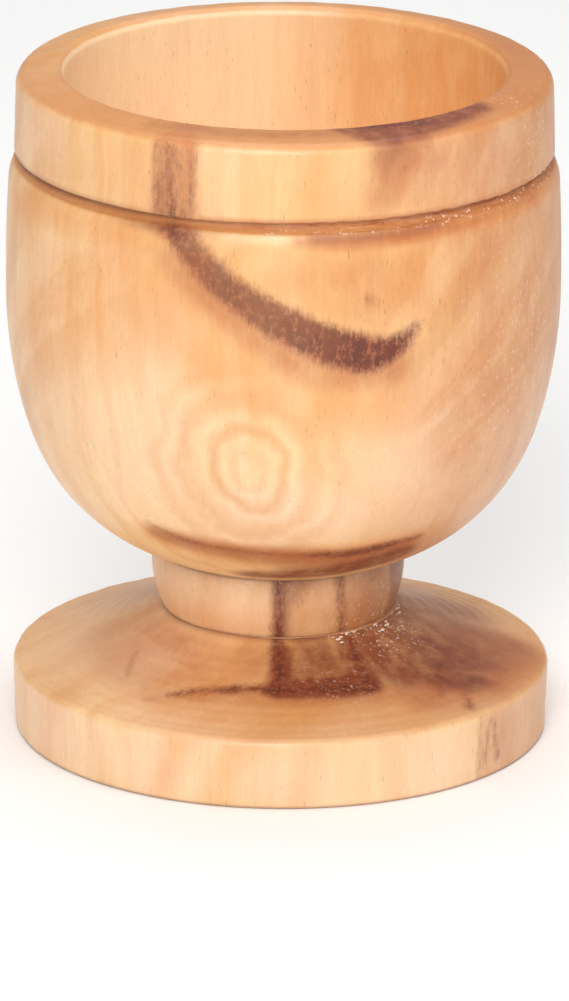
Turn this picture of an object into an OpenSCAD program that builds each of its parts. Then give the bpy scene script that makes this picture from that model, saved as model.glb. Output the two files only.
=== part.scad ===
// Small turned communion cup in olive wood: a bowl, a stem and a foot, glued with round tenons.
// Origin: centre of the foot's underside, on the table. +Z is up, and the cup is round about Z.

/* [Overall] */
// Height from the table to the top of the lip
cup_h = 46.8; // [40:0.2:58]
// Widest diameter of the bowl
bowl_d = 37.8; // [36:0.2:46]
// Diameter of the foot at its top edge
foot_d = 36.8; // [34:0.2:46]

/* [Bowl] */
// Height of the widest point, as a share of the bowl's height
belly_share = 0.545; // [0.45:0.005:0.6]
// Radius of the turn at the bottom of the bowl
turn_r = 13.4; // [10:0.2:16]
// Radius of the flank above that turn, as a share of its depth below the widest point
flank_share = 1.7; // [1.4:0.05:2.2]
// How far the side leans in between the widest point and the groove
flank_lean = 0.2; // [0.1:0.05:0.4]
// Radius of the shoulder under the groove
shoulder_r = 3; // [2:0.1:5]

/* [Rim] */
// Height of the rim band, from the groove to the top of the lip
band_h = 5.6; // [3:0.1:8]
// How far the band stands in from the widest point, on each side
band_inset = 0.6; // [0.4:0.05:1.2]
// How much the band narrows towards the lip, on each side
band_taper = 0.1; // [0:0.05:0.4]
// Height of the groove
groove_w = 0.8; // [0.4:0.05:1.2]
// Height of the groove's deepest line, as a share of the groove's height
groove_deep_share = 0.7; // [0.4:0.05:0.8]
// Depth of the groove behind the band
groove_depth = 0.5; // [0.2:0.05:0.8]
// Radius of the rim's outer edge
rim_round = 0.9; // [0.4:0.1:1.2]
// Radius of the lip's inner edge
lip_round = 0.7; // [0.2:0.1:0.9]
// How far the top of the lip falls towards its outer edge
lip_fall = 0.3; // [0.1:0.05:0.6]

/* [Hollow] */
// Diameter of the mouth
mouth_d = 29.8; // [26:0.2:30.6]
// Depth of the hollow
hollow_h = 26; // [16:0.5:26]
// How much the hollow narrows towards the bottom, on each side
hollow_taper = 0.4; // [0:0.1:1]
// Radius of the hollow's bottom corner
hollow_turn_r = 11; // [6:0.5:12]

/* [Stem] */
// Visible height of the stem
stem_h = 4.4; // [3:0.1:6]
// Diameter of the stem under the bowl
stem_top_d = 17.1; // [15:0.1:20]
// Diameter of the stem on the foot
stem_base_d = 15.9; // [15:0.1:20]
// How far the stem's side swells past a straight taper
stem_swell = 0.35; // [0.05:0.05:0.5]
// How far the bowl's bottom stands out past the stem, on each side
neck_step = 0.55; // [0.2:0.05:0.9]

/* [Foot] */
// Thickness of the foot at its edge
foot_edge_h = 5; // [4:0.1:7]
// How far the top of the foot rises from its edge to the stem
foot_rise = 3.6; // [3:0.1:5]
// How much the foot narrows towards the table, on each side
foot_taper = 0.14; // [0:0.02:0.4]
// Radius of the foot's top edge
foot_top_round = 0.6; // [0.3:0.1:1.2]
// Radius of the foot's bottom edge
foot_low_round = 0.3; // [0.1:0.1:0.6]
// Radius of the hollow sweep on top of the foot
foot_sweep_r = 40; // [20:1:80]
// Width of the ring that rests on the table
rest_ring_w = 2.6; // [2:0.1:3.6]
// Depth of the recess inside that ring
recess_h = 0.6; // [0.3:0.05:1]

/* [Glued joints] */
// Diameter of the tenons at both ends of the stem
tenon_d = 10; // [8:0.5:12]
// Length of each tenon
tenon_h = 4; // [3:0.1:4.5]
// Chamfer on the tenons' ends
tenon_chamfer = 0.4; // [0.2:0.1:0.6]
// Thickness of the glue around each tenon and under each shoulder
glue_gap = 0.1; // [0.05:0.01:0.2]
// Thickness of the glue past the end of each tenon
glue_end_gap = 0.4; // [0.2:0.05:0.6]

/* [Label] */
// Length of the label
label_w = 25; // [20:0.5:28]
// Width of the label
label_d = 7; // [5:0.5:10]
// Thickness of the label
label_t = 0.12; // [0.08:0.01:0.2]
// Corner radius of the label
label_round = 0.9; // [0.5:0.1:1.5]

/* [Hidden] */
$fn = 128;
wood = [0.87, 0.68, 0.47];
pale_wood = [0.90, 0.74, 0.55];
dark_wood = [0.80, 0.59, 0.40];
glue = [0.62, 0.48, 0.30];
gold = [0.70, 0.54, 0.20];

// Heights, from the table up
foot_top = foot_edge_h + foot_rise;
stem_base = foot_top + glue_gap;
stem_top = stem_base + stem_h;
neck = stem_top + glue_gap;
belly = neck + belly_share * (cup_h - neck);
groove_high = cup_h - band_h;
groove_low = groove_high - groove_w;
hollow_floor = cup_h - hollow_h;

// Radii
belly_r = bowl_d / 2;
stem_top_r = stem_top_d / 2;
neck_r = stem_top_r + neck_step;
band_r = belly_r - band_inset;
rim_r = band_r - band_taper;
mouth_r = mouth_d / 2;
hollow_r = mouth_r - hollow_taper;
foot_top_r = foot_d / 2;
foot_low_r = foot_top_r - foot_taper;
recess_r = foot_low_r - rest_ring_w;
stem_base_r = stem_base_d / 2;
tenon_r = tenon_d / 2;
socket_r = tenon_r + glue_gap;
socket_h = tenon_h + glue_end_gap;

// The flank below the widest point, and the turn that meets the neck
flank_r = flank_share * (belly - neck);
flank_c = [belly_r - flank_r, belly];
turn_angle = -blend_angle(flank_c, flank_r, turn_r, [neck_r, neck]);
turn_start = flank_c + flank_r * heading(turn_angle);

// The side above the widest point, and the shoulder that meets the groove
side_h = groove_low - shoulder_r / 2 - belly;
side_r = (side_h ^ 2 + flank_lean ^ 2) / (2 * flank_lean);
side_c = [belly_r - side_r, belly];
shoulder_angle = blend_angle(side_c, side_r, shoulder_r, [band_r, groove_low]);
shoulder_start = side_c + side_r * heading(shoulder_angle);

function heading(angle) = [cos(angle), sin(angle)];

// Angle at which a circle of radius r leaves the circle of radius big_r about c,
// if it touches that circle from inside and then passes through point p
function blend_angle(c, big_r, r, p) =
    let (v = p - c, gap = big_r - r)
    atan2(abs(v.y), v.x) - acos((v * v + gap ^ 2 - r ^ 2) / (2 * gap * norm(v)));

// Area between the chord from a to b and an arc of radius r on the chord's right
module bulge(a, b, r) {
    half = norm(b - a) / 2;
    right = [b.y - a.y, a.x - b.x] / (2 * half);
    intersection() {
        translate((a + b) / 2 - right * sqrt(max(r ^ 2 - half ^ 2, 0))) circle(r);
        polygon([a, a + right * half * 1.5, b + right * half * 1.5, b]);
    }
}

module bowl_section() {
    crown_out = [rim_r - rim_round, cup_h - lip_fall];
    rim_low = [rim_r, cup_h - lip_fall - rim_round];
    lip_top = [mouth_r + lip_round, cup_h];
    lip_low = [mouth_r, cup_h - lip_round];
    corner_high = [hollow_r, hollow_floor + hollow_turn_r];
    corner_low = [hollow_r - hollow_turn_r, hollow_floor];
    difference() {
        union() {
            polygon([
                [0, neck], [neck_r, neck], turn_start, [belly_r, belly], shoulder_start,
                [band_r, groove_low],
                [band_r - groove_depth, groove_low + groove_deep_share * groove_w],
                [band_r, groove_high],
                rim_low, crown_out, lip_top, lip_low, corner_high, corner_low,
                [0, hollow_floor]
            ]);
            bulge([neck_r, neck], turn_start, turn_r);
            bulge(turn_start, [belly_r, belly], flank_r);
            bulge([belly_r, belly], shoulder_start, side_r);
            bulge(shoulder_start, [band_r, groove_low], shoulder_r);
            bulge(rim_low, crown_out, rim_round);
            bulge(lip_top, lip_low, lip_round);
        }
        bulge(corner_low, corner_high, hollow_turn_r);
    }
}

module bowl() {
    color(wood) difference() {
        rotate_extrude() bowl_section();
        translate([0, 0, neck]) cylinder(r = socket_r, h = 2 * socket_h, center = true);
    }
}

module stem() {
    base = [stem_base_r, stem_base];
    top = [stem_top_r, stem_top];
    swell_r = ((norm(top - base) / 2) ^ 2 + stem_swell ^ 2) / (2 * stem_swell);
    color(pale_wood) union() {
        rotate_extrude() {
            polygon([[0, stem_base], base, top, [0, stem_top]]);
            bulge(base, top, swell_r);
        }
        translate([0, 0, stem_top]) tenon();
        translate([0, 0, stem_base]) mirror([0, 0, 1]) tenon();
    }
}

// Round peg with a chamfered end, standing on z = 0
module tenon() {
    cylinder(r = tenon_r, h = tenon_h - tenon_chamfer);
    translate([0, 0, tenon_h - tenon_chamfer])
        cylinder(r1 = tenon_r, r2 = tenon_r - tenon_chamfer, h = tenon_chamfer);
}

module foot_section() {
    low_in = [foot_low_r - foot_low_round, 0];
    low_out = [foot_low_r, foot_low_round];
    top_out = [foot_top_r, foot_edge_h - foot_top_round];
    top_in = [foot_top_r - foot_top_round, foot_edge_h];
    difference() {
        union() {
            polygon([
                [0, recess_h], [recess_r, recess_h], [recess_r, 0], low_in, low_out,
                top_out, top_in, [stem_base_r, foot_top], [0, foot_top]
            ]);
            bulge(low_in, low_out, foot_low_round);
            bulge(top_out, top_in, foot_top_round);
        }
        bulge([stem_base_r, foot_top], top_in, foot_sweep_r);
    }
}

module foot() {
    color(pale_wood) difference() {
        rotate_extrude() foot_section();
        translate([0, 0, foot_top]) cylinder(r = socket_r, h = 2 * socket_h, center = true);
    }
}

// Set glue of one joint: under the shoulder, around the tenon and past its end.
// The shoulder's face is at z = 0 and the tenon points up.
module glue_film(film_r) {
    rotate_extrude() polygon([
        [tenon_r, 0], [film_r, 0], [film_r, glue_gap], [socket_r, glue_gap],
        [socket_r, glue_gap + socket_h], [0, glue_gap + socket_h], [0, tenon_h],
        [tenon_r - tenon_chamfer, tenon_h], [tenon_r, tenon_h - tenon_chamfer]
    ]);
}

module bowl_glue() {
    color(glue) translate([0, 0, stem_top]) glue_film(stem_top_r - glue_gap);
}

module foot_glue() {
    color(glue) translate([0, 0, stem_base]) mirror([0, 0, 1]) glue_film(stem_base_r - glue_gap);
}

// Plain foil label, stuck to the roof of the recess under the foot
module label() {
    across = label_w - 2 * label_round;
    along = label_d - 2 * label_round;
    color(gold) translate([0, 0, recess_h - label_t]) linear_extrude(label_t) {
        square([label_w, along], center = true);
        square([across, label_d], center = true);
        for (x = [-1, 1], y = [-1, 1])
            translate([x * across / 2, y * along / 2]) circle(label_round);
    }
}

bowl();
stem();
foot();
bowl_glue();
foot_glue();
label();
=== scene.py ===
import math
import random
import bpy
import numpy as np
from mathutils import Euler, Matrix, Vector


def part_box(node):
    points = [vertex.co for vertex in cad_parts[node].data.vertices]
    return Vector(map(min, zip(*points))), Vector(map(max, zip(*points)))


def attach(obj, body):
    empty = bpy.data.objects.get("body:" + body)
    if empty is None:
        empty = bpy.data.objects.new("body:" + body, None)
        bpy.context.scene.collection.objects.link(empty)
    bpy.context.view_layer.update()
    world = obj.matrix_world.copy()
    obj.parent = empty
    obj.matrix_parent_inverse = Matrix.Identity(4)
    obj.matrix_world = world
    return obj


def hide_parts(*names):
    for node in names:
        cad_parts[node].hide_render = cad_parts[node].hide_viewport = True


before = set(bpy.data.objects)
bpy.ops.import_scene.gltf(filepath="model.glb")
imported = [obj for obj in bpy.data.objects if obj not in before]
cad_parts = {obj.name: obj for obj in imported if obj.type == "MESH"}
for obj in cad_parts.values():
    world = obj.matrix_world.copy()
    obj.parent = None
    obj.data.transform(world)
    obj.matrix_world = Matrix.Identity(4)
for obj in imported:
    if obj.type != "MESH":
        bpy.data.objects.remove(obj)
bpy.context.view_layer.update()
mm = 0.001


# Small helpers for picking, turning and finishing pieces

def clearPick():
    if bpy.context.object and bpy.context.object.mode != "OBJECT":
        bpy.ops.object.mode_set(mode="OBJECT")
    bpy.ops.object.select_all(action="DESELECT")


def pickOnly(piece):
    clearPick()
    piece.select_set(True)
    bpy.context.view_layer.objects.active = piece


def rename(piece, name):
    piece.name = name
    piece.data.name = name
    return piece


def alongLine(start, end, spacing):  # spots from just after start up to end
    start, end = np.array(start, float), np.array(end, float)
    count = max(1, round(np.linalg.norm(end - start) / spacing))
    return [tuple(start + (end - start) * k / count) for k in range(1, count + 1)]


def alongArc(start, end, radius, spacing):  # the same on an arc; a negative radius dips the other way
    start, end = np.array(start, float), np.array(end, float)
    half = np.linalg.norm(end - start) / 2
    side = np.array([end[1] - start[1], start[0] - end[0]]) / (2 * half) * math.copysign(1, radius)
    centre = (start + end) / 2 - side * math.sqrt(max(radius * radius - half * half, 0))
    first = math.atan2(start[1] - centre[1], start[0] - centre[0])
    turn = math.atan2(end[1] - centre[1], end[0] - centre[0]) - first
    turn = (turn + math.pi) % (2 * math.pi) - math.pi
    count = max(2, round(abs(radius * turn) / spacing))
    return [
        (centre[0] + abs(radius) * math.cos(first + turn * k / count),
         centre[1] + abs(radius) * math.sin(first + turn * k / count))
        for k in range(1, count + 1)
    ]


class Outline(list):  # half a section, traced from spot to spot
    def go(self, end, spacing):
        self += alongLine(self[-1], end, spacing)

    def bend(self, end, radius, spacing):
        self += alongArc(self[-1], end, radius, spacing)


def turnOnLathe(name, outline, steps):
    clearPick()
    bpy.ops.mesh.primitive_plane_add(size=mm)
    piece = rename(bpy.context.object, name)
    bpy.ops.object.mode_set(mode="EDIT")
    bpy.ops.mesh.select_all(action="SELECT")
    bpy.ops.mesh.merge(type="CENTER")
    reached = (0.0, 0.0)
    for index, (radius, height) in enumerate(outline):
        move = ((radius - reached[0]) * mm, 0, (height - reached[1]) * mm)
        if index == 0:
            bpy.ops.transform.translate(value=move)
        else:
            bpy.ops.mesh.extrude_vertices_move(TRANSFORM_OT_translate={"value": move})
        reached = (radius, height)
    bpy.ops.mesh.select_all(action="SELECT")
    bpy.ops.mesh.spin(steps=steps, angle=2 * math.pi, center=(0, 0, 0), axis=(0, 0, 1))
    bpy.ops.mesh.select_all(action="SELECT")
    bpy.ops.mesh.remove_doubles(threshold=0.002 * mm)
    bpy.ops.mesh.normals_make_consistent(inside=False)
    bpy.ops.object.mode_set(mode="OBJECT")
    bpy.ops.object.shade_smooth()
    return piece


def spotsOf(piece):  # vertex places in millimetres
    places = np.zeros(len(piece.data.vertices) * 3)
    piece.data.vertices.foreach_get("co", places)
    return places.reshape(-1, 3) / mm


def radiusOf(spots):
    return np.hypot(spots[:, 0], spots[:, 1])


def azimuthOf(spots):  # 0 at the front, growing to the right
    return np.degrees(np.arctan2(spots[:, 0], -spots[:, 1]))


def spotAt(azimuth, radius, height):
    angle = np.radians(azimuth)
    height = np.broadcast_to(height, radius.shape)
    return np.stack([radius * np.sin(angle), -radius * np.cos(angle), height], -1)


def smoothStep(value, low, high):
    share = np.clip((value - low) / (high - low), 0, 1)
    return share * share * (3 - 2 * share)


def displace(piece, name, amount, weights, **settings):  # an applied Displace, by weight
    modifier = piece.modifiers.new(name, "DISPLACE")
    modifier.strength = amount * mm
    for setting, value in settings.items():
        setattr(modifier, setting, value)
    group = piece.vertex_groups.new(name=name)
    for index in np.nonzero(weights > 0.01)[0]:
        group.add([int(index)], float(weights[index]), "REPLACE")
    modifier.vertex_group = name
    pickOnly(piece)
    bpy.ops.object.modifier_apply(modifier=name)
    piece.vertex_groups.remove(piece.vertex_groups[name])


def pressIn(piece, name, wear, weights):  # soft bumps; wear is their size and height in millimetres
    size, amount = wear
    bumps = bpy.data.textures.new(name, "CLOUDS")
    bumps.noise_scale = size * mm
    displace(piece, name, amount, weights, texture=bumps, texture_coords="LOCAL", mid_level=0.5)


def slideBy(piece, name, axis, amount, weights):  # straight along one axis
    displace(piece, name, amount, weights, direction=axis, mid_level=0.0)


def storeField(piece, name, values):
    field = piece.data.attributes.new(name, "FLOAT", "POINT")
    field.data.foreach_set("value", np.asarray(values, np.float32))


# Node helpers

def toLinear(red, green, blue):
    def channel(value):
        value /= 255
        return value / 12.92 if value <= 0.04045 else ((value + 0.055) / 1.055) ** 2.4
    return (channel(red), channel(green), channel(blue), 1.0)


def addNode(tree, kind, **settings):
    made = tree.nodes.new(kind)
    for name, value in settings.items():
        setattr(made, name, value)
    return made


def feed(tree, socket, value):
    if isinstance(value, bpy.types.NodeSocket):
        tree.links.new(value, socket)
    else:
        socket.default_value = value


def reckon(tree, operation, first, second=0.0, third=0.0):
    made = addNode(tree, "ShaderNodeMath", operation=operation)
    for socket, value in zip(made.inputs, (first, second, third)):
        feed(tree, socket, value)
    return made.outputs[0]


def times(tree, first, second):
    return reckon(tree, "MULTIPLY", first, second)


def vectorMath(tree, operation, *values):
    made = addNode(tree, "ShaderNodeVectorMath", operation=operation)
    for socket, value in zip(made.inputs, values):
        feed(tree, socket, value)
    return made


def fade(tree, value, low, high, start=0.0, end=1.0):
    made = addNode(tree, "ShaderNodeMapRange", interpolation_type="SMOOTHSTEP")
    for socket, item in zip(made.inputs, (value, low, high, start, end)):
        feed(tree, socket, item)
    return made.outputs[0]


def blend(tree, amount, low, high):
    made = addNode(tree, "ShaderNodeMix", data_type="RGBA")
    feed(tree, made.inputs[0], amount)
    feed(tree, made.inputs[6], low)
    feed(tree, made.inputs[7], high)
    return made.outputs[2]


def readField(tree, name):
    return addNode(tree, "ShaderNodeAttribute", attribute_name=name).outputs["Fac"]


def noiseOn(tree, where, scale, detail=2.0, roughness=0.5, stretch=(1, 1, 1), turn=(0, 0, 0), move=(0, 0, 0)):
    turned = addNode(tree, "ShaderNodeMapping", vector_type="POINT")
    feed(tree, turned.inputs["Vector"], where)
    turned.inputs["Location"].default_value = move
    turned.inputs["Rotation"].default_value = Euler([math.radians(a) for a in turn])
    turned.inputs["Scale"].default_value = stretch
    return plainNoise(tree, "3D", "Vector", turned.outputs[0], scale, detail, roughness)


def plainNoise(tree, dimensions, socket, value, scale, detail, roughness):
    made = addNode(tree, "ShaderNodeTexNoise", noise_dimensions=dimensions)
    feed(tree, made.inputs[socket], value)
    made.inputs["Scale"].default_value = scale
    made.inputs["Detail"].default_value = detail
    made.inputs["Roughness"].default_value = roughness
    return made.outputs["Fac"]


def sway(tree, noise, amount, middle):  # middle, plus or minus some of a noise
    return reckon(tree, "MULTIPLY_ADD", reckon(tree, "SUBTRACT", noise, 0.5), amount, middle)


def startMaterial(name):
    made = bpy.data.materials.new(name)
    made.use_nodes = True
    tree = made.node_tree
    tree.nodes.clear()
    shader = addNode(tree, "ShaderNodeBsdfPrincipled")
    tree.links.new(shader.outputs[0], addNode(tree, "ShaderNodeOutputMaterial").inputs[0])
    grown = addNode(tree, "ShaderNodeVectorMath", operation="SCALE")  # metres to millimetres
    feed(tree, grown.inputs[0], addNode(tree, "ShaderNodeTexCoord").outputs["Object"])
    grown.inputs["Scale"].default_value = 1 / mm
    return made, tree, shader, grown.outputs[0]


def roughen(tree, shader, height, strength, depth):  # depth in millimetres
    bump = addNode(tree, "ShaderNodeBump")
    bump.inputs["Strength"].default_value = strength
    bump.inputs["Distance"].default_value = depth * mm
    feed(tree, bump.inputs["Height"], height)
    tree.links.new(bump.outputs[0], shader.inputs["Normal"])


# Olive wood: growth rings round a pith behind the cup, knots, fibres, pores and heartwood

oliveTones = {
    "pale": toLinear(245, 205, 151),
    "honey": toLinear(234, 179, 114),
    "tan": toLinear(212, 150, 92),
    "orange": toLinear(224, 144, 72),
    "blushAndLight": toLinear(247, 207, 174),
    "endGrain": toLinear(204, 134, 72),
    "smoke": toLinear(130, 62, 38),
    "heart": toLinear(112, 48, 30),
    "heartDark": toLinear(78, 34, 24),
    "fleck": toLinear(168, 98, 64),
    "brown": toLinear(190, 114, 66),
    # the cream tone paints light on the bowl's inner wall
    "paintedLightCream": toLinear(254, 226, 182),
    # the dust tone also paints glints as pale specks
    "dustAndGlint": toLinear(248, 230, 218),
    # the next tone paints shade in creases, in the groove and along edges
    "paintedShade": toLinear(104, 56, 38),
}
oliveGrain = {
    # lengths in millimetres
    "pith": (-24, 30, 0),
    "pithDrift": (9, 9, 6),
    "pithSlope": (1, 1, 0.2),
    "ringPitch": 0.42,
    "knotWander": 2.6,
    # reach, spread and strength
    "knotRings": ((1.0, 0.8, 0.2), (2.6, 0.8, 0.52), (4.4, 1.1, 0.4), (6.2, 1.0, 0.25)),
    "bumpStrength": 0.4,
    "bumpDepth": 0.06,
    "gloss": {"IOR": 1.48, "Coat Weight": 0.15, "Coat Roughness": 0.3},
}
paints = ("haloAndShade", "stainAndShade", "smoke", "blushAndLight", "dustAndGlint")
fieldDefaults = {"heart": 3.0, "knot": 30.0} | dict.fromkeys(
    paints + ("heartDepth", "endGrain", "paintedShade", "fan", "fanDepth", "paintedLightCream"), 0.0)


def tint(tree, colour, tone, amount):
    return blend(tree, amount, colour, oliveTones[tone])


def tintField(tree, colour, tone, field, factor):  # tint where a stored field says so
    return tint(tree, colour, tone, times(tree, readField(tree, field), factor))


def paleWood(tree, spot, mottle):  # growth rings, clouds and pink patches, with painted light on the bowl's inner wall
    wander = noiseOn(tree, spot, 0.075, 2.0, 0.55, stretch=(1, 1, 0.5)).node.outputs["Color"]
    drift = vectorMath(tree, "MULTIPLY_ADD", wander, oliveGrain["pithDrift"], spot)
    leaning = vectorMath(tree, "MULTIPLY", drift.outputs[0], oliveGrain["pithSlope"])
    offPith = vectorMath(tree, "DISTANCE", leaning.outputs[0], oliveGrain["pith"]).outputs["Value"]
    rings = times(tree, offPith, oliveGrain["ringPitch"])
    bands = plainNoise(tree, "1D", "W", rings, 1.0, 2.0, 0.5)
    cloud = noiseOn(tree, spot, 0.1, 3.0, 0.55, stretch=(1, 1, 0.55), turn=(0, 32, 0), move=(3, 7, 1))
    pinkness = noiseOn(tree, spot, 0.09, 1.0, 0.5, move=(11, 2, 5))
    uneven = sway(tree, mottle, 0.9, 0.95)
    ringShade = times(tree, fade(tree, bands, 0.36, 0.7), 0.75)
    colour = blend(tree, ringShade, oliveTones["pale"], oliveTones["honey"])
    colour = tint(tree, colour, "tan", fade(tree, cloud, 0.4, 0.72, 0.0, 0.55))
    colour = tint(tree, colour, "honey", fade(tree, mottle, 0.42, 0.75, 0.0, 0.3))
    colour = tint(tree, colour, "blushAndLight", fade(tree, pinkness, 0.45, 0.7, 0.0, 0.4))
    colour = tintField(tree, colour, "blushAndLight", "blushAndLight", uneven)
    return tintField(tree, colour, "paintedLightCream", "paintedLightCream", uneven)


def knotRings(tree, spot, colour):  # the field holds millimetres from the nearest knot
    bent = noiseOn(tree, spot, 0.28, 2.0, 0.5, move=(4, 4, 9))
    knotReach = sway(tree, bent, oliveGrain["knotWander"], readField(tree, "knot"))
    for ring, spread, strength in oliveGrain["knotRings"]:
        gap = reckon(tree, "ABSOLUTE", reckon(tree, "SUBTRACT", knotReach, ring))
        colour = tint(tree, colour, "tan", fade(tree, gap, spread, 0.0, 0.0, strength))
    return colour


def fanLines(tree, mottle, colour):  # the field holds the turn round the fan's root
    across = addNode(tree, "ShaderNodeCombineXYZ")
    feed(tree, across.inputs[0], readField(tree, "fan"))
    feed(tree, across.inputs[1], times(tree, mottle, 1.5))
    lines = plainNoise(tree, "2D", "Vector", across.outputs[0], 1.0, 4.0, 0.6)
    depth = readField(tree, "fanDepth")
    colour = tint(tree, colour, "tan", times(tree, fade(tree, lines, 0.42, 0.62), depth))
    pink = fade(tree, lines, 0.46, 0.3, 0.0, 0.5)
    return tint(tree, colour, "blushAndLight", times(tree, pink, depth))


def heartwood(tree, ragged, smoky, speckle):
    tone = blend(tree, fade(tree, ragged, 0.15, -0.55), oliveTones["smoke"], oliveTones["heart"])
    tone = tint(tree, tone, "heartDark", fade(tree, smoky, 0.48, 0.66, 0.0, 0.6))
    tone = tint(tree, tone, "fleck", fade(tree, speckle, 0.48, 0.64, 0.0, 0.7))
    return tint(tree, tone, "tan", fade(tree, speckle, 0.62, 0.74, 0.0, 0.25))


def oliveWood(name, roughness):
    made, tree, shader, spot = startMaterial(name)
    mottle = noiseOn(tree, spot, 0.45, 3.0, 0.6, stretch=(1, 1, 0.6), move=(6, 1, 4))
    smoky = noiseOn(tree, spot, 0.8, 4.0, 0.65, stretch=(1, 1, 0.6), move=(9, 4, 2))
    fibre = noiseOn(tree, spot, 1.0, 3.0, 0.6, stretch=(2.2, 2.2, 0.14))
    hair = noiseOn(tree, spot, 1.0, 2.0, 0.6, stretch=(7.5, 7.5, 0.9), move=(5, 1, 2))
    speckle = noiseOn(tree, spot, 2.2, 4.0, 0.75, stretch=(1.2, 1.2, 0.8), move=(2, 9, 4))
    colour = fanLines(tree, mottle, knotRings(tree, spot, paleWood(tree, spot, mottle)))

    # orange halos, end grain, brown stain and dark smoke, most of them patchy; the halos also carry painted
    # shade inside the bowl, and the stain painted shade over the right flank
    patchy = sway(tree, mottle, 1.3, 0.9)
    colour = tintField(tree, colour, "orange", "haloAndShade", patchy)
    colour = tintField(tree, colour, "endGrain", "endGrain", 0.85)
    colour = tintField(tree, colour, "brown", "stainAndShade", patchy)
    colour = tintField(tree, colour, "smoke", "smoke", fade(tree, smoky, 0.32, 0.62, 0.75, 1.1))

    # heartwood: the field holds millimetres to a streak's edge, less than 0 inside it
    ragged = sway(tree, hair, 0.5, readField(tree, "heart"))
    ragged = sway(tree, mottle, 0.9, sway(tree, speckle, 0.8, ragged))
    inHeart = times(tree, fade(tree, ragged, 0.5, -0.5), readField(tree, "heartDepth"))
    colour = blend(tree, inHeart, colour, heartwood(tree, ragged, smoky, speckle))

    # pores, painted shade in creases, in the groove and along edges, and pale specks of torn grain and dust,
    # some of them painted glints
    pores = noiseOn(tree, spot, 1.0, 1.0, 0.4, stretch=(9, 9, 1.6), move=(1, 1, 8))
    inPore = fade(tree, pores, 0.71, 0.78)
    colour = tint(tree, colour, "heart", times(tree, inPore, 0.3))
    colour = tint(tree, colour, "paintedShade", readField(tree, "paintedShade"))
    specks = noiseOn(tree, spot, 3.4, 1.0, 0.5, stretch=(1.2, 1.2, 1), move=(7, 7, 3))
    inSpeck = times(tree, fade(tree, specks, 0.63, 0.7), readField(tree, "dustAndGlint"))
    colour = tint(tree, colour, "dustAndGlint", inSpeck)

    # fine fibres along the axis, light and dark
    fibreShade = fade(tree, fibre, 0.3, 0.75, 0.965, 1.03)
    hairShade = fade(tree, hair, 0.3, 0.7, 0.97, 1.02)
    lit = addNode(tree, "ShaderNodeHueSaturation")
    feed(tree, lit.inputs["Color"], colour)
    feed(tree, lit.inputs["Value"], times(tree, fibreShade, hairShade))
    tree.links.new(lit.outputs[0], shader.inputs["Base Color"])

    # satin oil, drier in the pores and streaks
    sheen = noiseOn(tree, spot, 0.5, 3.0, 0.6, stretch=(1, 1, 0.4), move=(8, 3, 3))
    dull = reckon(tree, "MULTIPLY_ADD", sheen, 0.16, roughness - 0.08)
    dull = reckon(tree, "MULTIPLY_ADD", inPore, 0.25, dull)
    dull = reckon(tree, "MULTIPLY_ADD", inHeart, 0.08, dull)
    tree.links.new(dull, shader.inputs["Roughness"])
    for socket, value in oliveGrain["gloss"].items():
        shader.inputs[socket].default_value = value

    height = reckon(tree, "MULTIPLY_ADD", hair, 0.3, times(tree, fibre, 0.4))
    height = reckon(tree, "MULTIPLY_ADD", speckle, reckon(tree, "MULTIPLY_ADD", inHeart, 0.7, 0.15), height)
    height = reckon(tree, "MULTIPLY_ADD", inPore, -0.6, height)
    height = reckon(tree, "MULTIPLY_ADD", inSpeck, 0.9, height)
    roughen(tree, shader, height, oliveGrain["bumpStrength"], oliveGrain["bumpDepth"])
    return made


# Where the figure lies on a piece

def streak(route, width, depth):  # dark heartwood: its route, half widths in millimetres and depths of colour
    return {"route": route, "width": width, "depth": depth}


def stroke(route, width, soft, strength):  # a soft-edged stroke; soft is the width of its edge
    return {"route": route, "width": width, "soft": soft, "strength": strength}


def smoothRoute(points, count=60):  # Catmull-Rom through listed points
    points = np.array(points, float)
    ends = np.vstack([2 * points[0] - points[1], points, 2 * points[-1] - points[-2]])
    where = np.linspace(0, len(points) - 1 - 1e-6, count)
    step = where.astype(int)
    t = (where - step)[:, None]
    a, b, c, d = ends[step], ends[step + 1], ends[step + 2], ends[step + 3]
    curve = 2 * b + (c - a) * t + (2 * a - 5 * b + 4 * c - d) * t ** 2
    return 0.5 * (curve + (3 * b - a - 3 * c + d) * t ** 3)


def alongShare(values, share):  # a value some share of the way along a list
    return np.interp(share, np.linspace(0, 1, len(values)), values)


def reachTo(spots, item, placeOf):  # millimetres from the edge of one route, less than 0 inside it
    route = smoothRoute(item["route"])
    line = placeOf(route[:, 0], route[:, 1])
    shares = np.linspace(0, 1, len(line))
    near, along = np.full(len(spots), 9.0), np.zeros(len(spots))
    for centre, half, share in zip(line, alongShare(item["width"], shares), shares):
        away = np.linalg.norm(spots - centre, axis=1) - half
        along = np.where(away < near, share, along)
        near = np.minimum(near, away)
    return near, along


def streakField(spots, streaks, placeOf):
    reach = np.full(len(spots), fieldDefaults["heart"])
    depth = np.zeros(len(spots))
    for item in streaks:
        near, along = reachTo(spots, item, placeOf)
        closer = near < reach
        reach = np.where(closer, near, reach)
        depth = np.where(closer, alongShare(np.atleast_1d(item["depth"]), along), depth)
    return reach, depth


def strokeField(spots, strokes, placeOf):
    total = np.zeros(len(spots))
    for item in strokes:
        near = reachTo(spots, item, placeOf)[0]
        total = np.maximum(total, item["strength"] * smoothStep(near, item["soft"], -0.3 * item["soft"]))
    return total


def offsetFrom(spots, placeOf, azimuth, height):
    return spots - placeOf(np.array([azimuth], float), np.array([height], float))[0]


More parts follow.
